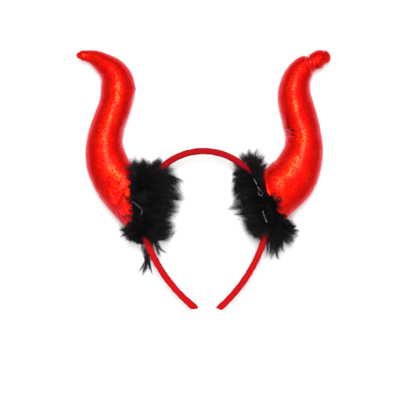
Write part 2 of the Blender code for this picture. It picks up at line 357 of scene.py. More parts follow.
@dataclass(frozen=True)
class SewingThread:
    """Pale grey twisted thread."""

    colour: Colour = (0.34, 0.34, 0.36)
    shade: Colour = (0.10, 0.10, 0.11)
    twist: float = 0.6 * MM
    twist_depth: float = 0.08 * MM
    rough: float = 0.45

    def shader(self) -> Shader:
        """Builds the material.

        Returns:
            The material's shader.
        """
        s = Shader("sewing_thread", "down_feathers")
        twist = s.noise(self.twist)
        return s.finish(
            Base_Color=s.mix(twist.ease(0.3, 0.7), self.shade, self.colour),
            Roughness=self.rough + twist * 0.2,
            Normal=s.bump(twist, self.twist_depth),
        )


@dataclass(frozen=True)
class PaperFloor:
    """White studio paper."""

    colour: Colour = (0.39, 0.39, 0.39)
    rough: float = 0.75
    gloss: float = 0.2

    def shader(self) -> Shader:
        """Builds the material.

        Returns:
            The material's shader.
        """
        s = Shader("studio_paper", "")
        return s.finish(Base_Color=self.colour, Roughness=self.rough, Specular_IOR_Level=self.gloss)


class Side(Enum):
    """The side of the head, as it is seen from the front in the photo's view."""

    LEFT = -1
    RIGHT = 1


@dataclass(frozen=True)
class Arc:
    """One arc of the band's centreline."""

    radius: float
    sweep: float


@dataclass(frozen=True)
class Section:
    """A section of a horn: out and up are shares of its reach and rise.

    Girth is a share of its plain width and depth, flare how far it widens to those of its base, and lift
    how high its underside is, as a share of its depth.
    """

    out: float
    up: float
    girth: float
    flare: float
    lift: float


@dataclass(frozen=True)
class Crease:
    """A hollow across a horn: place along it, deepest side in degrees, and its sizes."""

    along: float
    side: float
    spread: float
    width: float
    depth: float


@dataclass(frozen=True)
class Fold:
    """A sharp fold of the skin: place and side as in Crease, then width, depth and slant in millimetres."""

    along: float
    side: float
    spread: float
    width: float
    depth: float
    skew: float = 0.0


@dataclass(frozen=True)
class MuffRow:
    """A row of a muff, from its rim over the horn to the side towards the head."""

    out: float
    radius: float
    lock: float


def rows_of(kind: Callable[..., Any], *rows: tuple[Any, ...]) -> tuple[Any, ...]:
    """Makes a table: one object of this kind for each row, whose columns are the kind's fields."""
    return tuple(kind(*row) for row in rows)


def spline(knots: np.ndarray, values: np.ndarray, at: np.ndarray) -> np.ndarray:
    """A natural cubic spline.

    Args:
        knots: places of the given values, rising.
        values: one row of values a knot.
        at: places to read.

    Returns:
        One row of values for each place.
    """
    steps = np.diff(knots)
    count = len(knots)
    system, right = np.eye(count), np.zeros_like(values)
    for i in range(1, count - 1):
        system[i, i - 1 : i + 2] = steps[i - 1], 2 * (steps[i - 1] + steps[i]), steps[i]
        slopes = np.diff(values[i - 1 : i + 2], axis=0) / steps[i - 1 : i + 1, None]
        right[i] = 6 * (slopes[1] - slopes[0])
    bend = np.linalg.solve(system, right)
    index = np.clip(np.searchsorted(knots, at, side="right") - 1, 0, count - 2)
    step = steps[index][:, None]
    after = (at[:, None] - knots[index][:, None]) / step
    before = 1 - after
    line = before * values[index] + after * values[index + 1]
    sag = (before**3 - before) * bend[index] + (after**3 - after) * bend[index + 1]
    return line + sag * step**2 / 6


def ripple(points: np.ndarray, length: float, seed: int, waves: int = 24) -> np.ndarray:
    """Smooth noise with a spread of about 1.

    Args:
        points: places, with coordinates last.
        length: the usual distance between two crests.
        seed: picks the noise.
        waves: how many plane waves are summed.

    Returns:
        One number for each place.
    """
    rng = np.random.default_rng(seed)
    ways = rng.normal(size=(waves, points.shape[-1]))
    ways /= np.linalg.norm(ways, axis=1)[:, None]
    ways *= (rng.uniform(0.7, 1.4, waves) * 2 * math.pi / length)[:, None]
    return np.sin(points @ ways.T + rng.uniform(0, 2 * math.pi, waves)).sum(axis=-1) * math.sqrt(2 / waves)


def unit(vectors: np.ndarray) -> np.ndarray:
    """Vectors of length 1 in the same directions."""
    return vectors / np.maximum(np.linalg.norm(vectors, axis=-1, keepdims=True), 1e-12)


def grid_normals(grid: np.ndarray) -> np.ndarray:
    """Normals of a grid of points that closes round its second axis.

    Args:
        grid: the points, with their coordinates last.

    Returns:
        One direction for each point.
    """
    along = np.gradient(grid, axis=0)
    around = np.roll(grid, -1, axis=1) - np.roll(grid, 1, axis=1)
    return unit(np.cross(around, along))


def add_object(name: str, data: bpy.types.ID) -> bpy.types.Object:
    """Puts a mesh, a lamp or a camera into the scene.

    Args:
        name: the object's name.
        data: what it shows.

    Returns:
        The object.
    """
    thing = bpy.data.objects.new(name, data)
    bpy.context.scene.collection.objects.link(thing)
    return thing


def add_mesh(name: str, points: np.ndarray, faces: list[Sequence[int]], shader: Shader) -> bpy.types.Object:
    """Adds a smooth piece that rides on the part.

    Args:
        name: the piece's name.
        points: its corners, in the part's frame.
        faces: corner numbers of each face.
        shader: its material.

    Returns:
        The piece.
    """
    data = bpy.data.meshes.new(name)
    data.from_pydata(points.reshape(-1, 3).tolist(), [], faces)
    data.validate()
    data.shade_smooth()
    data.materials.append(shader.material)
    piece = add_object(name, data)
    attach(piece, "root")
    log.info("%s: %d triangles", name, sum(len(face) - 2 for face in faces))
    return piece


def tube_faces(rings: int, sides: int, flip: bool = False) -> list[tuple[int, ...]]:
    """Faces between rings of points, with a flat cap over each end.

    Args:
        rings: how many rings there are.
        sides: how many points each ring has.
        flip: turns the faces over.

    Returns:
        Corner numbers of each face.
    """
    ring = np.arange(rings - 1)[:, None] * sides
    side = np.arange(sides)[None, :]
    after = (side + 1) % sides
    corners = [ring + side, ring + after, ring + sides + after, ring + sides + side]
    quads = np.stack(corners, axis=-1).reshape(-1, 4)
    faces = [tuple(quad) for quad in (quads[:, ::-1] if flip else quads).tolist()]
    first, last = tuple(range(sides)), tuple(range((rings - 1) * sides, rings * sides))
    return faces + ([first, last[::-1]] if flip else [first[::-1], last])


@dataclass
class BandPath:
    """The band's centreline in the part's frame, with its crown at (x, y)."""

    x: float
    y: float
    z: float
    arcs: tuple[Arc, ...] = (
        Arc(58 * MM, math.radians(57)),
        Arc(66 * MM, math.radians(51)),
        Arc(143 * MM, math.radians(33)),
    )
    seat_sweep: float = math.radians(22)
    sway: float = 1.4 * MM
    sway_start: float = 62 * MM
    sway_end: float = 96 * MM

    @property
    def half(self) -> float:
        """Length from the crown to a tip."""
        return sum(arc.radius * arc.sweep for arc in self.arcs)

    def at(self, length: float) -> tuple[np.ndarray, np.ndarray]:
        """Point and outward direction at this length from the crown, right of it if positive.

        Args:
            length: measured along the band.

        Returns:
            The point, and the direction out of the head there.
        """
        side, left = math.copysign(1, length), abs(length)
        x = y = heading = 0.0
        for arc in self.arcs:
            turn = min(arc.sweep, left / arc.radius)
            x += arc.radius * (math.sin(heading + turn) - math.sin(heading))
            y -= arc.radius * (math.cos(heading) - math.cos(heading + turn))
            heading += turn
            left -= turn * arc.radius
        low = min(max((-y - self.sway_start) / (self.sway_end - self.sway_start), 0.0), 1.0)
        point = np.array([self.x + side * x + self.sway * low * low * (3 - 2 * low), self.y + y, self.z])
        return point, np.array([side * math.sin(heading), math.cos(heading), 0.0])

    def seat(self, side: Side) -> "Seat":
        """Where a horn is sewn on.

        Args:
            side: which horn.

        Returns:
            Its seat.
        """
        crown, flank = self.arcs[:2]
        point, outward = self.at(side.value * (crown.radius * crown.sweep + flank.radius * self.seat_sweep))
        return Seat(side, point, outward)

    def distance(self, points: np.ndarray) -> np.ndarray:
        """How far each point is from the centreline, seen along Z.

        Args:
            points: places in the part's frame, with coordinates last.

        Returns:
            One distance for each point.
        """
        line = np.array([self.at(length)[0][:2] for length in np.linspace(-self.half, self.half, 160)])
        flat = points.reshape(-1, points.shape[-1])[:, :2]
        near = [np.linalg.norm(line - point, axis=1).min() for point in flat]
        return np.array(near).reshape(points.shape[:-1])


@dataclass(frozen=True)
class Seat:
    """A horn's seat: out of the head, up the side, and Z above the surface."""

    side: Side
    origin: np.ndarray
    outward: np.ndarray

    def to_part(self, local: np.ndarray) -> np.ndarray:
        """Turns (out, up, z) into the part's frame.

        Args:
            local: places as (out, up, z).

        Returns:
            The same places as (x, y, z).
        """
        up = np.array([-self.outward[1] * self.side.value, abs(self.outward[0]), 0.0])
        flat = self.origin * np.array([1, 1, 0])
        return flat + local[..., :1] * self.outward + local[..., 1:2] * up + local[..., 2:] * UPWARD


@dataclass
class Horn:
    """One stuffed horn: its seat, its table of sections, and what creases its skin."""

    seat: Seat
    reach: float
    rise: float
    table: tuple[Section, ...]
    creases: tuple[Crease, ...]
    folds: tuple[Fold, ...]
    seed: int
    gathered: float = 1.0
    width: float = 33 * MM
    depth: float = 31 * MM
    base_width: float = 60 * MM
    base_depth: float = 34 * MM
    seat_lift: float = 4.5 * MM
    settle: float = 45 * MM
    sink: float = 0.8 * MM
    bend_start: float = 0.22
    gather_reach: float = 34 * MM
    gather_side: float = 45.0
    gather_spread: float = 78.0
    lump_step: float = 34 * MM
    lump_height: float = 0.20
    dimple_step: float = 12 * MM
    dimple_height: float = 0.06
    wrinkle_step: float = 5.5 * MM
    wrinkle_height: float = 0.09
    warp_step: float = 30 * MM
    pleats: int = 26
    pleat_height: float = 0.45
    pleat_reach: float = 24 * MM
    seam_depth: float = 0.40
    seam_width: float = 0.9 * MM
    tuck_step: float = 4.2 * MM
    tuck_reach: float = 4.5 * MM
    tuck_height: float = 0.09
    even: int = 7
    rings: int = 420
    sides: int = 184
    tip_rings: int = 9

    @property
    def name(self) -> str:
        """The solid that this horn replaces."""
        return f"horn_{self.seat.side.name.lower()}"

    def sections(self, places: np.ndarray) -> tuple[float, np.ndarray]:
        """Reads the table smoothly.

        Args:
            places: from 0 at the seat to 1 at the tip.

        Returns:
            The horn's length, and rows of out, up, half width, half depth, underside, across x, y.
        """
        points = np.array([(row.out * self.reach, row.up * self.rise) for row in self.table])
        lengths = np.concatenate([[0], np.cumsum(np.linalg.norm(np.diff(points, axis=0), axis=1))])
        rows = np.array(
            [
                (
                    *point,
                    (self.width * row.girth + (self.base_width - self.width) * row.flare) / 2,
                    (self.depth * row.girth + (self.base_depth - self.depth) * row.flare) / 2,
                    self.depth * row.lift,
                )
                for point, row in zip(points, self.table)
            ]
        )
        read = spline(lengths / lengths[-1], rows, places)
        ahead = unit(np.gradient(read[:, :2], places, axis=0))
        straight = np.clip(1 - places / self.bend_start, 0, 1)[:, None]
        ahead = unit(ahead * (1 - straight) + np.array([1.0, 0.0]) * straight)
        settled = np.clip(read[:, 0] / self.settle, 0, 1)
        underside = read[:, 4] + self.seat_lift * (1 - settled) - self.sink * settled
        return lengths[-1], np.column_stack([read[:, :4], underside, ahead[:, 1], -ahead[:, 0]])

    def skin(self) -> np.ndarray:
        """The skin as a grid of (out, up, z), rings first.

        Returns:
            The grid, creased and crumpled.
        """
        places = np.linspace(0, 1, self.rings)
        length, rows = self.sections(places)
        angles = 2 * math.pi * (np.arange(self.sides) + 0.5) / self.sides
        kept = np.ones((self.rings, self.sides))
        for crease in self.creases:
            along = (places - crease.along) * length / (crease.width * self.width)
            dip = crease.depth * np.exp(-1.5 * along**2)
            kept -= dip[:, None] * self.arch(angles, crease.side, crease.spread)
        cos, sin = np.cos(angles), np.sin(angles)
        half_width, half_depth, underside = rows[:, 2:3], rows[:, 3:4], rows[:, 4:5]
        flat = rows[:, None, :2] + rows[:, None, 5:] * (cos * half_width * kept)[..., None]
        # the inner side of the first bend, evened along the horn
        shifts = range(-self.even, self.even + 1)
        evened = sum(np.roll(flat, shift, axis=0) for shift in shifts) / len(shifts)
        bend = np.clip((places - 0.08) / 0.05, 0, 1) * np.clip((0.36 - places) / 0.08, 0, 1)
        flat = flat + (evened - flat) * bend[:, None, None]
        grid = np.concatenate([flat, (underside + half_depth * (1 + sin * kept))[..., None]], axis=-1)
        return self.crumple(grid, places, angles, length, rows)

    @staticmethod
    def arch(angles: np.ndarray, side: float, spread: float) -> np.ndarray:
        """1 at this side of a section, easing to 0 at spread degrees to each side of it."""
        off = np.abs((np.degrees(angles) - side + 180) % 360 - 180) / spread
        return np.where(off < 1, np.cos(math.pi / 2 * np.minimum(off, 1)) ** 2, 0.0)

    def crumple(
        self, grid: np.ndarray, places: np.ndarray, angles: np.ndarray, length: float, rows: np.ndarray
    ) -> np.ndarray:
        """Moves the skin in and out by its lumps, wrinkles, gathers, seams and folds.

        Args:
            grid: the plain skin.
            places: along the horn.
            angles: round the horn.
            length: the horn's length.
            rows: its sections.

        Returns:
            The moved skin, held above the surface.
        """
        normals = grid_normals(grid)
        outward = np.sign((normals[10] * (grid[10] - grid[10].mean(axis=0))).sum(axis=-1).mean())
        run = places * length
        cos = np.cos(angles)
        body = np.clip(places / 0.06, 0, 1)[:, None]
        slim = np.clip(rows[:, 2:3] / (0.5 * self.width), 0.25, 1)
        lift = self.lump_height * ripple(grid, self.lump_step, self.seed)
        lift += self.dimple_height * ripple(grid, self.dimple_step, self.seed + 1)
        # wrinkles across the hollow side of each bend
        heading = np.unwrap(np.arctan2(-rows[:, 5], rows[:, 6]))
        bend = np.gradient(heading, run) * rows[:, 2]
        hollow = np.clip(-np.sign(bend)[:, None] * cos[None, :], 0, 1) ** 2
        hollow = hollow * np.clip(np.abs(bend) * 2.2, 0, 1)[:, None]
        warp = ripple(grid, self.warp_step, self.seed + 2)
        crest = np.sin(run[:, None] * 2 * math.pi / self.wrinkle_step + 2.2 * warp)
        lift += self.wrinkle_height * hollow * crest * (0.6 + 0.4 * ripple(grid, 16 * MM, self.seed + 3))
        # gathers that run out of the seat
        fan = np.exp(-((run[:, None] / self.pleat_reach) ** 2))
        pleat = np.sin(angles[None, :] * self.pleats + 1.6 * ripple(grid, 14 * MM, self.seed + 4))
        lower = 0.04 + 0.96 * self.arch(angles, self.gather_side, self.gather_spread)
        height = self.pleat_height * (0.7 + 0.3 * ripple(grid, 9 * MM, self.seed + 5))
        lift += fan * pleat * height * (self.gathered * lower)[None, :]
        # the two seams, with puckers beside them
        for middle in (0.0, math.pi):
            turn = np.abs((angles - middle + math.pi) % (2 * math.pi) - math.pi)
            off = turn[None, :] * rows[:, 2:3]
            lift -= self.seam_depth * np.exp(-((off / self.seam_width) ** 2))
            tuck = np.sin(run[:, None] * 2 * math.pi / self.tuck_step + 1.8 * warp + middle)
            lift += self.tuck_height * tuck * np.exp(-((off / self.tuck_reach) ** 2))
        lift = lift * body * slim
        for fold in self.folds:
            slant = fold.skew * np.sin(angles - math.radians(fold.side))
            along = (run[:, None] - fold.along * length - slant[None, :] * MM) / (fold.width * MM)
            shape = np.exp(-(along**2)) - 0.35 * np.exp(-((np.abs(along) - 1.9) ** 2) * 1.5)
            lift -= fold.depth * shape * self.arch(angles, fold.side, fold.spread)[None, :]
        moved = grid + outward * normals * (lift * MM)[..., None]
        moved[..., 2] = np.maximum(moved[..., 2], 0.0)
        return moved

    def mark(self, piece: bpy.types.Object, count: int) -> None:
        """Gives the skin its places along and round the horn, and how strongly it is gathered there.

        Args:
            piece: the horn's skin.
            count: how many rings it has with its closed ends.
        """
        length, rows = self.sections(np.linspace(0, 1, self.rings))
        places = np.clip((np.arange(count) - 2) / (self.rings - 1), 0, 1)
        angles = 2 * math.pi * (np.arange(self.sides) + 0.5) / self.sides
        round_by = np.minimum(angles, 2 * math.pi - angles)[None, :] * self.base_width / 2
        along = (places * length)[:, None]
        skin = np.stack(np.broadcast_arrays(along, round_by, 0.0), axis=-1)
        lower = 0.05 + 0.95 * self.arch(angles, self.gather_side, self.gather_spread)
        gather = self.gathered * np.exp(-((along / self.gather_reach) ** 4)) * lower
        field = piece.data.attributes.new("skin", "FLOAT_VECTOR", "POINT")
        field.data.foreach_set("vector", skin.ravel())
        field = piece.data.attributes.new("gather", "FLOAT", "POINT")
        field.data.foreach_set("value", np.broadcast_to(gather, (count, self.sides)).ravel())

    def hold_out(self, points: np.ndarray, clear: float) -> np.ndarray:
        """Moves points that are inside the horn out to its skin.

        Args:
            points: places as (out, up, z).
            clear: how far off the skin they are to be.

        Returns:
            The points, moved where needed.
        """
        _, rows = self.sections(np.linspace(0, 0.45, 46))
        ahead = np.column_stack([-rows[:, 6], rows[:, 5]])
        flat = points.reshape(-1, 3)
        behind = np.abs(flat[:, None, 0] - rows[None, :, 0]) * np.abs(ahead[None, :, 0])
        gap = (flat[:, None, 0] - rows[None, :, 0]) * ahead[None, :, 0]
        gap = gap + (flat[:, None, 1] - rows[None, :, 1]) * ahead[None, :, 1]
        row = rows[np.argmin(np.abs(gap) + 0.02 * behind, axis=1)]
        offset = flat[:, :2] - row[:, :2]
        across = (offset * row[:, 5:]).sum(axis=1)
        high = flat[:, 2] - row[:, 4] - row[:, 3]
        share = np.hypot(across / (row[:, 2] + clear), high / (row[:, 3] + clear))
        push = np.where((share < 1) & (flat[:, 0] > 0), 1 / np.maximum(share, 0.3), 1.0) - 1
        moved = flat.copy()
        moved[:, :2] += (across * push)[:, None] * row[:, 5:]
        moved[:, 2] += high * push
        return moved.reshape(points.shape)

    def build(self, shader: Shader) -> bpy.types.Object:
        """Args:
            shader: its material.

        Returns:
            The piece.
        """
        grid = self.skin()
        end, before = grid[-1], grid[-6]
        middle, ahead = end.mean(axis=0), unit(end.mean(axis=0) - before.mean(axis=0))
        radius = np.linalg.norm(end - middle, axis=1).mean()
        turns = np.linspace(0, math.pi / 2, self.tip_rings + 1)[1:-1]
        bulge = ahead * radius * 0.9
        tip = [middle + (end - middle) * math.cos(turn) + bulge * math.sin(turn) for turn in turns]
        start = grid[0].mean(axis=0)
        steps = ((0.3, 1.2), (0.8, 1.0))
        inward = [start + (grid[0] - start) * share - np.array([deep * MM, 0, 0]) for share, deep in steps]
        rings = np.concatenate([np.array(inward), grid, np.array(tip)])
        rings[..., 2] = np.maximum(rings[..., 2], 0.0)
        flip = self.seat.side is Side.LEFT
        faces = tube_faces(len(rings), self.sides, flip)
        piece = add_mesh(self.name + "_skin", self.seat.to_part(rings), faces, shader)
        self.mark(piece, len(rings))
        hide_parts(self.name)
        return piece


@dataclass(frozen=True)
class MuffEdge:
    """How far the wisps reach from the seat, seen from above, in millimetres; 0 degrees is out, 90 is up."""

    angle: float
    reach: float


@dataclass(frozen=True)
class RimPoint:
    """How far out the down lies over the horn, at this height up the seat, in millimetres."""

    up: float
    out: float


@dataclass(frozen=True)
class Plume:
    """A lock that stands away from the rest: its root and tip as (out, up, z), in millimetres."""

    root: tuple[float, float, float]
    tip: tuple[float, float, float]
    spread: float = 1.0


@dataclass
class FeatherMuff:
    """A muff of down round a horn's seat: a dark packed core, and locks of barbs from a cord round it."""

    seat: Seat
    horn: Horn
    band: BandPath
    shift: float
    lean: float
    fan: float
    shown_above: float
    shown_below: float
    seed: int
    edges: tuple[MuffEdge, ...]
    rim: tuple[RimPoint, ...]
    plumes: tuple[Plume, ...]
    radius: float = 33 * MM
    depth: float = 38 * MM
    reach: float = 21 * MM
    wall: float = 2.5 * MM
    floor_wall: float = 3 * MM
    rim_pull: float = 0.5
    lock: float = 16.5 * MM
    locks: int = 680
    barbs: int = 45
    tufts: int = 240
    joints: int = 6
    barb_width: float = 0.15 * MM
    coarse_share: float = 0.16
    coarse: float = 2.3
    pull: tuple[float, float] = (0.45, 0.92)
    lengths: tuple[float, float] = (0.58, 1.26)
    root_spread: float = 1.4 * MM
    rim_spread: float = 2.8 * MM
    barb_spread: float = 0.056
    barb_clear: float = 0.35 * MM
    stray_share: float = 0.14
    curl: float = 0.045
    band_clear: float = 3.4 * MM
    band_slack: float = 3.5 * MM
    over_band: float = 0.06
    core_size: float = 0.84
    core_head: float = 0.9
    core_inside: float = 2.6 * MM
    core_clear: float = 0.9 * MM
    core_sunk: float = 5.5 * MM
    core_floor: float = 0.8 * MM
    core_lump_step: float = 6 * MM
    core_lump: float = 0.9
    core_rings: int = 52
    core_sides: int = 120
    rows: tuple[MuffRow, ...] = (
        MuffRow(0.55, 0.50, 0.30),
        MuffRow(0.66, 0.78, 0.35),
        MuffRow(0.68, 0.93, 0.45),
        MuffRow(0.50, 1.03, 0.70),
        MuffRow(0.26, 1.06, 0.90),
        MuffRow(0.02, 1.07, 0.97),
        MuffRow(-0.22, 1.03, 1.00),
        MuffRow(-0.45, 0.95, 1.00),
        MuffRow(-0.64, 0.83, 0.95),
        MuffRow(-0.79, 0.68, 0.90),
        MuffRow(-0.90, 0.50, 0.85),
        MuffRow(-0.97, 0.28, 0.80),
    )

    @property
    def name(self) -> str:
        """The solid that this muff replaces."""
        return f"feather_muff_{self.seat.side.name.lower()}"

    def surface(self, share: np.ndarray, angle: np.ndarray, size: float = 1.0) -> tuple[np.ndarray, ...]:
        """The packed down's surface.

        Args:
            share: from 0 at the rim over the horn to 1 at the middle of the head side.
            angle: round the muff, from the crown side.
            size: shrinks it towards its middle.

        Returns:
            Points as (out, up, z), directions of the locks there, and the locks' share of length.
        """
        knots = np.linspace(0, 1, len(self.rows))
        table = np.array([(row.out, row.radius, row.lock) for row in self.rows])
        out, radius, lock = (np.interp(share, knots, column) for column in table.T)
        cos, sin = np.cos(angle), np.sin(angle)
        under = np.maximum(0, -sin)
        reach = self.reach * out * (1 - self.rim_pull * under * (out > 0))
        top = self.depth / 2 + self.wall
        bottom = self.depth / 2 + self.floor_wall
        high = np.where(under > 0, bottom * np.sqrt(radius), top * radius) * sin * size
        up = self.radius * radius * cos * size
        place = (reach + self.shift + (self.lean + self.fan * out) * up, up, high + self.band.z)
        point = np.stack(np.broadcast_arrays(*place), axis=-1)
        way = np.stack(np.broadcast_arrays(out * 0.9, cos * radius, sin * radius), axis=-1)
        return point, unit(way), lock

    def rim_limit(self, points: np.ndarray, inside: float) -> np.ndarray:
        """Keeps what lies over the horn on its near side of the rim.

        Args:
            points: places as (out, up, z).
            inside: how far inside the rim they stay.

        Returns:
            The moved points.
        """
        heights, limits = zip(*((point.up * MM, point.out * MM) for point in self.rim))
        limit = np.interp(points[..., 1], heights, limits) - inside
        over = np.clip((points[..., 2] - self.band.z + 4 * MM) / (8 * MM), 0, 1)
        moved = points.copy()
        moved[..., 0] -= np.maximum(points[..., 0] - limit, 0) * over
        return moved

    def part_the_band(self, points: np.ndarray, slack: np.ndarray | float = 0.0) -> np.ndarray:
        """Says which points (out, up, z) lie over the band where it shows, give or take the slack.

        Args:
            points: places as (out, up, z).
            slack: how much farther out the band starts to show.

        Returns:
            True for each point that lies over it.
        """
        shows = (points[..., 1] > self.shown_above + slack) | (points[..., 1] < -self.shown_below - slack)
        hidden = shows & (points[..., 2] > self.band.z + 1 * MM)
        close = np.zeros(points.shape[:-1], bool)
        if hidden.any():
            close[hidden] = self.band.distance(self.seat.to_part(points[hidden])) < self.band_clear
        return close

    def core(self, shader: Shader) -> bpy.types.Object:
        """Builds the packed down under the locks.

        Args:
            shader: its material.

        Returns:
            The piece.
        """
        shares = np.concatenate([np.linspace(0, 1, self.core_rings), [1.0]])
        angles = 2 * math.pi * np.arange(self.core_sides) / self.core_sides
        grid, _, _ = self.surface(shares[:, None], angles[None, :], self.core_size)
        middle = grid[-1].mean(axis=0)
        grid[-1] = middle + (grid[-1] - middle) * 0.15 - np.array([0.6 * MM, 0, 0])
        grid[..., 0] *= np.where(grid[..., 0] < 0, self.core_head, 1.0)
        away = unit(grid - np.array([0, 0, self.band.z]))
        grid = grid + away * (self.core_lump * ripple(grid, self.core_lump_step, self.seed) * MM)[..., None]
        grid = self.horn.hold_out(self.rim_limit(grid, self.core_inside), self.core_clear)
        sunk = self.part_the_band(grid)
        high = np.maximum(grid[..., 2], self.core_floor)
        grid[..., 2] = np.where(sunk, self.band.z - self.core_sunk, high)
        flip = self.seat.side is Side.RIGHT
        faces = tube_faces(len(shares), self.core_sides, flip)
        piece = add_mesh(self.name + "_core", self.seat.to_part(grid), faces, shader)
        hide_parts(self.name)
        return piece

    def trim(self, tips: np.ndarray) -> np.ndarray:
        """Draws the tips in or out to the muff's edge as it is seen from above.

        Args:
            tips: the locks' tips as (out, up, z).

        Returns:
            The moved tips.
        """
        steps = np.radians(np.arange(-180, 181, 10))
        angles, reaches = zip(*((math.radians(edge.angle), edge.reach * MM) for edge in self.edges))
        turn = np.arctan2(tips[:, 1], tips[:, 0])
        far = np.hypot(tips[:, 0], tips[:, 1])
        off = np.abs((turn[None, :] - steps[:, None] + math.pi) % (2 * math.pi) - math.pi)
        extent = np.array([np.percentile(far[row < math.radians(9)], 96) for row in off])
        scale = np.interp(turn, steps, np.interp(steps, angles, reaches) / extent)
        return tips * np.column_stack([scale, scale, np.ones(len(tips))])

    def clump(self, tips: np.ndarray, rng: np.random.Generator) -> np.ndarray:
        """Draws neighbouring tips together into tufts.

        Args:
            tips: the locks' tips as (out, up, z).
            rng: picks the tufts, and how far each tip is drawn.

        Returns:
            The moved tips.
        """
        heads = tips[rng.choice(len(tips), self.tufts, replace=False)]
        nearest = np.linalg.norm(tips[:, None] - heads[None], axis=2).argmin(axis=1)
        return tips + (heads[nearest] - tips) * rng.uniform(*self.pull, (len(tips), 1))

    def lock_lines(self, rng: np.random.Generator) -> tuple[np.ndarray, ...]:
        """Lays the locks out over the muff, and the plumes after them.

        Args:
            rng: picks their places, lengths and spreads.

        Returns:
            Their roots, bulging middles and tips as (out, up, z), and how wide each spreads.
        """
        share = rng.uniform(0.04, 1.0, self.locks * 6)
        angle = rng.uniform(0, 2 * math.pi, share.size)
        knots = np.linspace(0, 1, len(self.rows))
        girth = np.interp(share, knots, [row.radius for row in self.rows])
        keep = np.flatnonzero(rng.uniform(0, 1.07, share.size) < 0.35 + 0.65 * girth)[: self.locks]
        share, angle = share[keep], angle[keep] + rng.normal(0, 0.05, keep.size)
        shell, way, lock = self.surface(share, angle)
        tip = self.trim(shell + way * (self.lock * lock)[:, None])
        tip = self.clump(shell + (tip - shell) * rng.uniform(*self.lengths, keep.size)[:, None], rng)
        root, rise, _ = self.surface(0.42 + 0.25 * (share - 0.42), angle, 0.86)
        root += rng.normal(0, self.root_spread, root.shape)
        tip = self.rim_limit(tip, 0.0)
        tip[:, 0] += np.where(tip[:, 0] > 0, rng.normal(0.4 * MM, self.rim_spread, keep.size), 0)
        wide = rng.uniform(0.75, 1.25, keep.size)
        for plume in self.plumes:
            root = np.vstack([root, np.array(plume.root) * MM])
            tip = np.vstack([tip, np.array(plume.tip) * MM])
            rise = np.vstack([rise, unit(np.array(plume.root) * (0, 1, 0.5))])
            wide = np.append(wide, plume.spread)
        length = np.linalg.norm(tip - root, axis=1)[:, None]
        middle = 0.45 * root + 0.55 * tip + rise * length * 0.16 + rng.normal(0, 0.10, tip.shape) * length
        return root, middle, tip, wide

    def barb_lines(self, rng: np.random.Generator) -> np.ndarray:
        """Lays the barbs out along their locks.

        Args:
            rng: picks where each barb starts and ends and how it curls.

        Returns:
            Centre lines as (barb, joint, axis), in the seat's frame.
        """
        root, middle, tip, wide = self.lock_lines(rng)
        count = (len(root), self.barbs)
        length = np.linalg.norm(tip - root, axis=1)[:, None]
        # each barb is a stretch of its lock, which is an arc through root, middle and tip
        first = rng.uniform(0, 0.6, count)
        last = np.minimum(first + rng.uniform(0.35, 0.8, count), rng.uniform(0.7, 1.08, count))
        along = first[..., None] + (last - first)[..., None] * np.linspace(0, 1, self.joints)
        arc = (((1 - along) ** 2, root), (2 * along * (1 - along), middle), (along**2, tip))
        lines = sum(weight[..., None] * point[:, None, None] for weight, point in arc)
        # they stand off the arc in its middle and meet at its tip, but for the strays
        size = (self.barb_spread * wide[:, None] * length)[..., None, None]
        run = ((along - first[..., None]) / (last - first)[..., None])[..., None]
        stray = (rng.uniform(size=count) < self.stray_share)[..., None, None]
        body = np.sin(math.pi * np.clip(along * 0.93, 0, 1) ** 0.8)[..., None]
        lines = lines + rng.normal(0, 1, (*count, 1, 3)) * size * np.where(stray, 0.4 + 2.2 * run**1.5, body)
        # and locks and barbs curl a little
        length = length[..., None, None]
        curl = rng.normal(0, 1, (count[0], 1, 1, 3)) * self.curl * length
        lines = lines + curl * along[..., None] ** 3 + rng.normal(0, 0.012, (*count, 1, 3)) * length * run**2
        lines = lines + rng.normal(0, 0.25 * MM, (*count, 1, 3))
        return lines.reshape(-1, self.joints, 3)

    def build(self, core: Shader, down: Shader) -> list[bpy.types.Object]:
        """Builds the core and two pieces of barbs.

        Args:
            core: the core's material.
            down: the barbs' material.

        Returns:
            The three pieces.
        """
        pieces = [self.core(core)]
        rng = np.random.default_rng(self.seed)
        lines = self.horn.hold_out(self.barb_lines(rng), self.barb_clear)
        lift = rng.uniform(0.2, 1.6, lines.shape[:1])[:, None] * MM
        high = lines[..., 2]
        lines[..., 2] = np.where(high < lift, lift * 0.6 + 0.4 * np.maximum(high, 0), high)
        slack = rng.normal(0, self.band_slack, (len(lines), 1))
        crossing = self.part_the_band(lines, slack).any(axis=1)
        lines = lines[~crossing | (rng.uniform(size=len(lines)) < self.over_band)]
        for number, share in enumerate(np.array_split(lines, 2), 1):
            pieces.append(self.ribbons(f"{self.name}_locks_{number}", share, rng, down))
        return pieces

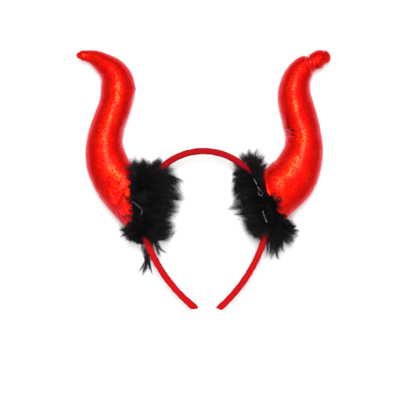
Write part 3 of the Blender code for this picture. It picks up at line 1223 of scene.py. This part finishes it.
    def ribbons(
        self, name: str, lines: np.ndarray, rng: np.random.Generator, shader: Shader
    ) -> bpy.types.Object:
        """Turns centre lines into tapered ribbons with a point at the end.

        Args:
            name: the piece's name.
            lines: the barbs' centre lines.
            rng: draws how each ribbon faces and how wide it is.
            shader: its material.

        Returns:
            The piece.
        """
        course = unit(lines[:, -1] - lines[:, 0])
        across = unit(np.cross(course, rng.normal(size=course.shape)))[:, None]
        taper = (1 - np.linspace(0, 1, self.joints) ** 1.8)[None, :, None]
        coarse = np.where(rng.uniform(size=(len(lines), 1, 1)) < self.coarse_share, self.coarse, 1.0)
        half = across * taper * coarse * self.barb_width / 2 * rng.uniform(0.6, 1.3, (len(lines), 1, 1))
        left, right = lines - half, lines + half
        corners = np.concatenate([left[:, :-1], right[:, :-1], lines[:, -1:]], axis=1)
        span, per = self.joints - 1, 2 * self.joints - 1
        base = (np.arange(len(lines)) * per)[:, None]
        step = np.arange(span - 1)[None, :]
        quads = np.stack([base + step, base + step + 1, base + span + step + 1, base + span + step], axis=-1)
        tips = np.stack([base[:, 0] + span - 1, base[:, 0] + per - 1, base[:, 0] + 2 * span - 1], axis=-1)
        faces = quads.reshape(-1, 4).tolist() + tips.tolist()
        piece = add_mesh(name, self.seat.to_part(corners), faces, shader)
        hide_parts(self.name)
        return piece


@dataclass(frozen=True)
class BandTip:
    """How the cover ends: shorter than its solid, hooked inwards, fuller before the end, and cut aslant."""

    cut: float
    hook: float
    bulge: float
    slant: float


@dataclass
class HairBand:
    """The cloth-covered band, with a seam along its inner side and pointed cloth tips."""

    path: BandPath
    width: float = 10 * MM
    solid_thickness: float = 5.6 * MM
    thickness: float = 6.0 * MM
    edge: float = 2.4 * MM
    rings: int = 420
    corner_points: int = 8
    tip_length: float = 8 * MM
    seam_width: float = 0.45 * MM
    seam_depth: float = 0.45 * MM
    unevenness: float = 0.10
    left_tip: BandTip = BandTip(0.8 * MM, 0.8 * MM, 0.16, 1.2 * MM)
    right_tip: BandTip = BandTip(-2.7 * MM, 0.2 * MM, 0.0, 2.8 * MM)

    def section(self) -> np.ndarray:
        """Points round the band as (out, along Z).

        Returns:
            The points, corner by corner.
        """
        out, wide, round_by = self.thickness / 2, self.width / 2, self.edge
        points = []
        for corner, (x, y) in enumerate(((1, 1), (-1, 1), (-1, -1), (1, -1))):
            for angle in np.linspace(0, math.pi / 2, self.corner_points) + math.pi / 2 * corner:
                turned = round_by * math.cos(angle), round_by * math.sin(angle)
                points.append((x * (out - round_by) + turned[0], y * (wide - round_by) + turned[1]))
            if corner == 1:
                points += [(-out, (wide - round_by) * share) for share in (0.5, 0.12, 0.0, -0.12, -0.5)]
        return np.array(points)

    def build(self, shader: Shader) -> bpy.types.Object:
        """Builds the cover.

        Args:
            shader: its material.

        Returns:
            The piece.
        """
        first, last = self.path.half - self.left_tip.cut, self.path.half - self.right_tip.cut
        near_tip = self.tip_length * (1 - np.sin(np.linspace(0, math.pi / 2, 20)))
        middle = np.linspace(near_tip[0] - first, last - near_tip[0], self.rings)
        lengths = np.concatenate([near_tip[:0:-1] - first, middle, last - near_tip[1:]])
        rings = []
        for length in lengths:
            tip, left = (self.right_tip, last - length) if length > 0 else (self.left_tip, first + length)
            near = max(0.0, 1 - left / self.tip_length)
            size = math.sqrt(max(1 - near**2.6, 0.02))
            point, outward = self.path.at(length)
            fuller = 1 + tip.bulge * math.sin(math.pi * near) ** 2
            ring = self.section() * np.array([(0.12 + 0.88 * size) * fuller, size])
            ring[:, 0] -= tip.hook * near**4
            if near < 0.6:
                seam = np.exp(-((ring[:, 1] / self.seam_width) ** 2)) * (ring[:, 0] < 0)
                ring[:, 0] += seam * self.seam_depth
            ahead = math.copysign(1, length) * np.array([outward[1], -outward[0], 0.0])
            slip = -ring[:, :1] / (self.thickness / 2) * tip.slant * near**2
            rings.append(point + outward * ring[:, :1] + ahead * slip + UPWARD * ring[:, 1:])
        grid = np.array(rings)
        grid = grid + grid_normals(grid) * (self.unevenness * ripple(grid, 7 * MM, 5) * MM)[..., None]
        piece = add_mesh("headband_cover", grid, tube_faces(len(grid), grid.shape[1], True), shader)
        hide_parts("headband")
        return piece


@dataclass
class Stitch:
    """A loose thread end that shows on a muff: points as (out, up, z) in millimetres."""

    name: str
    muff: FeatherMuff
    points: tuple[tuple[float, float, float], ...]
    radius: float = 0.135 * MM
    steps: int = 60
    sides: int = 8

    def build(self, shader: Shader) -> bpy.types.Object:
        """Builds the thread as a thin tube.

        Args:
            shader: its material.

        Returns:
            The piece.
        """
        knots = np.linspace(0, 1, len(self.points))
        line = spline(knots, np.array(self.points) * MM, np.linspace(0, 1, self.steps))
        ahead = unit(np.gradient(line, axis=0))
        side = unit(np.cross(ahead, UPWARD))
        lift = np.cross(side, ahead)
        turn = 2 * math.pi * np.arange(self.sides) / self.sides
        ring = np.cos(turn)[None, :, None] * side[:, None] + np.sin(turn)[None, :, None] * lift[:, None]
        grid = line[:, None] + ring * self.radius
        flip = self.muff.seat.side is Side.LEFT
        faces = tube_faces(self.steps, self.sides, flip)
        return add_mesh(self.name, self.muff.seat.to_part(grid), faces, shader)


@dataclass
class Studio:
    """White paper, soft light from above, and a camera that looks straight down."""

    aim: tuple[float, float] = (-8.2 * MM, -20.75 * MM)
    height: float = 1.6
    field: float = 0.3785
    level: float = 0.025
    roll: float = math.radians(-1.75)
    key_power: float = 92.0
    key_size: tuple[float, float] = (0.38, 1.40)
    key_place: tuple[float, float, float] = (0.0, 0.25, 1.75)
    key_colour: Colour = (1.0, 0.985, 0.96)
    floor_half: float = 2.5
    floor_z: float = -0.3 * MM
    sensor: float = 36.0
    zenith: float = 1.15
    horizon: float = 0.74

    def build(self) -> None:
        """Builds the floor, the lights and the camera."""
        floor_data = bpy.data.meshes.new("studio_floor")
        far = self.floor_half
        corners = [(x, y, self.floor_z) for x, y in ((-far, -far), (far, -far), (far, far), (-far, far))]
        floor_data.from_pydata(corners, [], [(0, 1, 2, 3)])
        floor_data.materials.append(PaperFloor().shader().material)
        floor = add_object("studio_floor", floor_data)
        self.sky()
        lamp = bpy.data.lights.new("key", "AREA")
        lamp.energy, lamp.shape = self.key_power, "RECTANGLE"
        lamp.size, lamp.size_y = self.key_size
        lamp.color = self.key_colour
        add_object("key", lamp).location = self.key_place
        camera_data = bpy.data.cameras.new("camera")
        camera_data.sensor_width = self.sensor
        camera_data.lens = self.sensor * (self.height - self.level) / self.field
        camera_data.clip_start, camera_data.clip_end = 0.1, 20
        camera = add_object("camera", camera_data)
        camera.location = (*self.aim, self.height)
        camera.rotation_euler = Euler((0, 0, self.roll))
        bpy.context.scene.camera = camera
        bpy.context.scene.view_settings.view_transform = "Standard"

    def sky(self) -> None:
        """A soft surround that is brightest overhead and dimmest at the horizon."""
        world = bpy.data.worlds.new("surround")
        world.use_nodes = True
        bpy.context.scene.world = world
        g = Graph(world.node_tree)
        way = g.node("ShaderNodeTexCoord", {}, {}).outputs["Generated"]
        high = Value(g, g.node("ShaderNodeSeparateXYZ", {}, {0: way}).outputs[2])
        level = high.ease(0.05, 0.85) * (self.zenith - self.horizon) + self.horizon
        light = g.node("ShaderNodeBackground", {}, {"Color": (1.0, 1.0, 1.0), "Strength": level})
        g.node("ShaderNodeOutputWorld", {}, {"Surface": light.outputs[0]})


LEFT_SECTIONS = rows_of(
    Section,
    (0.000, 0.000, 0.90, 0.85, 0.00),
    (0.045, 0.010, 1.00, 0.94, 0.00),
    (0.113, 0.034, 1.00, 0.81, 0.00),
    (0.247, 0.098, 1.00, 0.54, 0.00),
    (0.394, 0.185, 1.00, 0.36, 0.00),
    (0.489, 0.282, 1.00, 0.24, 0.00),
    (0.535, 0.368, 1.00, 0.12, 0.00),
    (0.544, 0.455, 1.00, 0.02, 0.00),
    (0.534, 0.545, 0.97, 0.00, 0.00),
    (0.509, 0.634, 0.95, 0.00, 0.00),
    (0.489, 0.717, 0.96, 0.00, 0.00),
    (0.488, 0.796, 1.00, 0.00, 0.00),
    (0.524, 0.873, 0.94, 0.00, 0.03),
    (0.604, 0.934, 0.78, 0.00, 0.13),
    (0.707, 0.970, 0.61, 0.00, 0.22),
    (0.835, 0.998, 0.43, 0.00, 0.28),
    (0.930, 1.000, 0.32, 0.00, 0.34),
    (0.974, 0.998, 0.26, 0.00, 0.38),
    (0.988, 0.996, 0.20, 0.00, 0.41),
)
RIGHT_SECTIONS = rows_of(
    Section,
    (0.000, 0.000, 0.90, 0.85, 0.00),
    (0.045, 0.004, 1.00, 0.98, 0.00),
    (0.101, 0.025, 1.00, 0.83, 0.00),
    (0.225, 0.080, 1.00, 0.60, 0.00),
    (0.355, 0.145, 1.00, 0.50, 0.00),
    (0.445, 0.230, 1.00, 0.33, 0.00),
    (0.511, 0.315, 1.00, 0.19, 0.00),
    (0.541, 0.405, 1.00, 0.08, 0.00),
    (0.552, 0.500, 1.00, 0.03, 0.00),
    (0.546, 0.597, 1.02, 0.00, 0.00),
    (0.542, 0.693, 1.03, 0.00, 0.00),
    (0.559, 0.785, 0.95, 0.00, 0.02),
    (0.603, 0.870, 0.85, 0.00, 0.09),
    (0.672, 0.932, 0.73, 0.00, 0.16),
    (0.735, 0.963, 0.64, 0.00, 0.20),
    (0.790, 0.972, 0.54, 0.00, 0.25),
    (0.845, 0.983, 0.53, 0.00, 0.26),
    (0.890, 0.995, 0.51, 0.00, 0.26),
    (0.922, 0.997, 0.46, 0.00, 0.28),
    (0.945, 0.997, 0.40, 0.00, 0.30),
)
LEFT_CREASES = rows_of(
    Crease,
    (0.130, 55, 45, 0.11, 0.06),
    (0.215, 50, 40, 0.11, 0.05),
    (0.702, 180, 45, 0.08, -0.035),
)
RIGHT_CREASES = rows_of(
    Crease,
    (0.470, 165, 60, 0.10, 0.06),
    (0.510, 165, 55, 0.09, 0.05),
    (0.922, 80, 120, 0.07, 0.26),
    (0.912, 180, 80, 0.05, 0.24),
    (0.930, 0, 80, 0.06, 0.05),
)
LEFT_FOLDS = rows_of(Fold, (0.120, 60, 60, 2.2, 0.6, 4.0))
RIGHT_FOLDS = rows_of(
    Fold,
    (0.430, 155, 50, 1.6, 0.5, 6.0),
    (0.475, 155, 46, 1.3, 0.8, 5.0),
    (0.505, 150, 50, 1.2, 0.9, 5.0),
    (0.903, 105, 95, 1.1, 1.1, -0.5),
    (0.929, 100, 90, 1.0, 1.0, 0.0),
)
LEFT_EDGES = rows_of(
    MuffEdge,
    (-180, 40.5),
    (-160, 40),
    (-142, 43.5),
    (-129, 34),
    (-119, 44),
    (-105, 38),
    (-90, 37),
    (-70, 37),
    (-50, 34),
    (0, 20),
    (45, 34),
    (60, 45),
    (70, 44.5),
    (90, 44.5),
    (100, 46.5),
    (115, 50),
    (130, 46),
    (150, 44),
    (170, 42),
    (180, 40.5),
)
LEFT_RIM = rows_of(
    RimPoint,
    (-40, 40),
    (-27, 15.5),
    (-21, 9),
    (-6, 9),
    (3, 12),
    (7, 16),
    (19, 20),
    (27, 21.5),
    (34, 20.5),
    (42, 40),
)
LEFT_PLUMES = rows_of(
    Plume,
    ((-8, -30, 8), (-11, -47, 6), 0.9),
    ((-9, -31, 8), (-13, -50, 6), 0.9),
    ((-10, -32, 8), (-14, -53, 6), 0.9),
    ((-10, -33, 8), (-15, -56, 6), 0.8),
    ((-11, -34, 8), (-16, -54, 6), 0.8),
    ((-7, -30, 8), (-8, -46, 6), 0.7),
    ((-11, -38, 7), (-16, -58, 6), 0.9),
    ((-10, -38, 7), (-14, -57, 6), 0.9),
    ((-12, -42, 6), (-10, -69, 5), 0.5),
    ((-12, -44, 6), (-9, -65, 5), 0.5),
    ((-13, -45, 6), (-4, -65, 5), 0.4),
    ((-12, -43, 6), (-12, -63, 5), 0.6),
    ((-13, -44, 6), (-21, -65, 5), 0.4),
    ((-13, -42, 6), (-17, -61, 5), 0.5),
    ((8, 22, 40), (19, 43, 38), 0.5),
    ((7, 22, 40), (15, 48, 38), 0.5),
    ((8, 20, 42), (22, 38, 41), 0.5),
    ((-14, -26, 10), (-24, -45, 7), 0.9),
    ((-14, -27, 10), (-31, -42, 7), 0.4),
    ((-15, -28, 10), (-26, -42, 7), 0.8),
    ((-14, -28, 10), (-20, -46, 7), 0.8),
    ((-13, -28, 10), (-17, -44, 7), 0.8),
    ((-14, -27, 10), (-27, -47, 7), 0.4),
    ((8, -20, 6), (15, -22, 5), 0.8),
    ((7, -21, 6), (16, -28, 5), 0.8),
    ((6, -22, 6), (19, -33, 5), 0.4),
    ((5, -23, 6), (14, -33, 5), 0.8),
    ((4, -23, 6), (9, -38, 5), 0.7),
    ((6, -22, 6), (18, -26, 5), 0.5),
    ((2, -24, 6), (4, -38, 5), 0.7),
)
RIGHT_EDGES = rows_of(
    MuffEdge,
    (-180, 38),
    (-160, 26),
    (-140, 35),
    (-120, 39.5),
    (-110, 43),
    (-100, 57),
    (-85, 50),
    (-70, 45.5),
    (-60, 45.5),
    (-45, 43),
    (-30, 33),
    (0, 20),
    (45, 22),
    (72, 47),
    (85, 55),
    (105, 52),
    (120, 45),
    (132, 39.5),
    (150, 33),
    (165, 31),
    (180, 38),
)
RIGHT_RIM = rows_of(
    RimPoint,
    (-36, 40),
    (-26, 19),
    (-18, 14.5),
    (-6, 10),
    (-2, 13),
    (4, 9),
    (7, 2),
    (14, 0),
    (20, 1.5),
    (27, 1),
    (34, 5),
    (42, 40),
)
RIGHT_PLUMES = rows_of(
    Plume,
    ((3, -1, 46), (14, 10, 44), 1.0),
    ((4, -3, 46), (17, 4, 43), 1.0),
    ((5, -5, 46), (18, 0, 43), 1.0),
    ((-2, -28, 10), (-10, -53, 8), 0.3),
    ((-1, -28, 10), (-6, -50, 8), 0.35),
    ((4, -28, 8), (3, -59, 6), 0.35),
    ((8, -27, 8), (20, -50, 6), 0.35),
    ((10, -24, 8), (31, -36, 6), 0.35),
)


def main() -> None:
    """Builds every piece in order."""
    logging.basicConfig(level=logging.INFO, format="%(message)s")
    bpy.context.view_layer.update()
    low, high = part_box("headband")
    foil, cloth, down = FoilFabric().shader(), BandCloth().shader(), BlackDown().shader()
    packed = BlackDown("packed_down", (0.001, 0.001, 0.001), (0.003, 0.0025, 0.003), 0.85, 0.05).shader()
    thread = SewingThread().shader()

    path = BandPath((low[0] + high[0]) / 2, high[1] - HairBand.solid_thickness / 2, (low[2] + high[2]) / 2)
    HairBand(path).build(cloth)

    left_seat, right_seat = path.seat(Side.LEFT), path.seat(Side.RIGHT)
    left_horn = Horn(left_seat, 83 * MM, 132 * MM, LEFT_SECTIONS, LEFT_CREASES, LEFT_FOLDS, seed=11)
    right_horn = Horn(
        right_seat, 92 * MM, 122 * MM, RIGHT_SECTIONS, RIGHT_CREASES, RIGHT_FOLDS, seed=23, gathered=0.35
    )
    for horn in (left_horn, right_horn):
        horn.build(foil)

    left_muff = FeatherMuff(
        left_seat,
        left_horn,
        path,
        shift=-3 * MM,
        lean=0.08,
        fan=0.04,
        shown_above=42 * MM,
        shown_below=29 * MM,
        seed=41,
        edges=LEFT_EDGES,
        rim=LEFT_RIM,
        plumes=LEFT_PLUMES,
    )
    right_muff = FeatherMuff(
        right_seat,
        right_horn,
        path,
        shift=-1.5 * MM,
        lean=-0.27,
        fan=-0.15,
        shown_above=33 * MM,
        shown_below=29 * MM,
        seed=57,
        edges=RIGHT_EDGES,
        rim=RIGHT_RIM,
        plumes=RIGHT_PLUMES,
    )
    for muff in (left_muff, right_muff):
        muff.build(packed, down)

    for stitch in (
        Stitch("stitch_right_top", right_muff, ((-6.0, 23.4, 56), (-5.3, 20, 57), (-4.9, 17.2, 57))),
        Stitch(
            "stitch_right_curl",
            right_muff,
            (
                (-4.2, 15.5, 57),
                (-3.0, 11.5, 58),
                (-1.2, 8.6, 58),
                (-2.6, 6.4, 58),
                (-4.6, 8, 58),
                (-4.6, 11, 58),
            ),
            0.11 * MM,
        ),
        Stitch("stitch_right_low", right_muff, ((-4.8, -7.6, 58), (-4.3, -13, 58), (-3.2, -18.7, 57))),
        Stitch(
            "stitch_left",
            left_muff,
            ((9.8, 3.3, 52), (4, 0.5, 56), (-1.5, -3.5, 58), (-1.7, -8.3, 57)),
            0.06 * MM,
        ),
    ):
        stitch.build(thread)

    Studio().build()


if __name__ == "__main__":
    main()
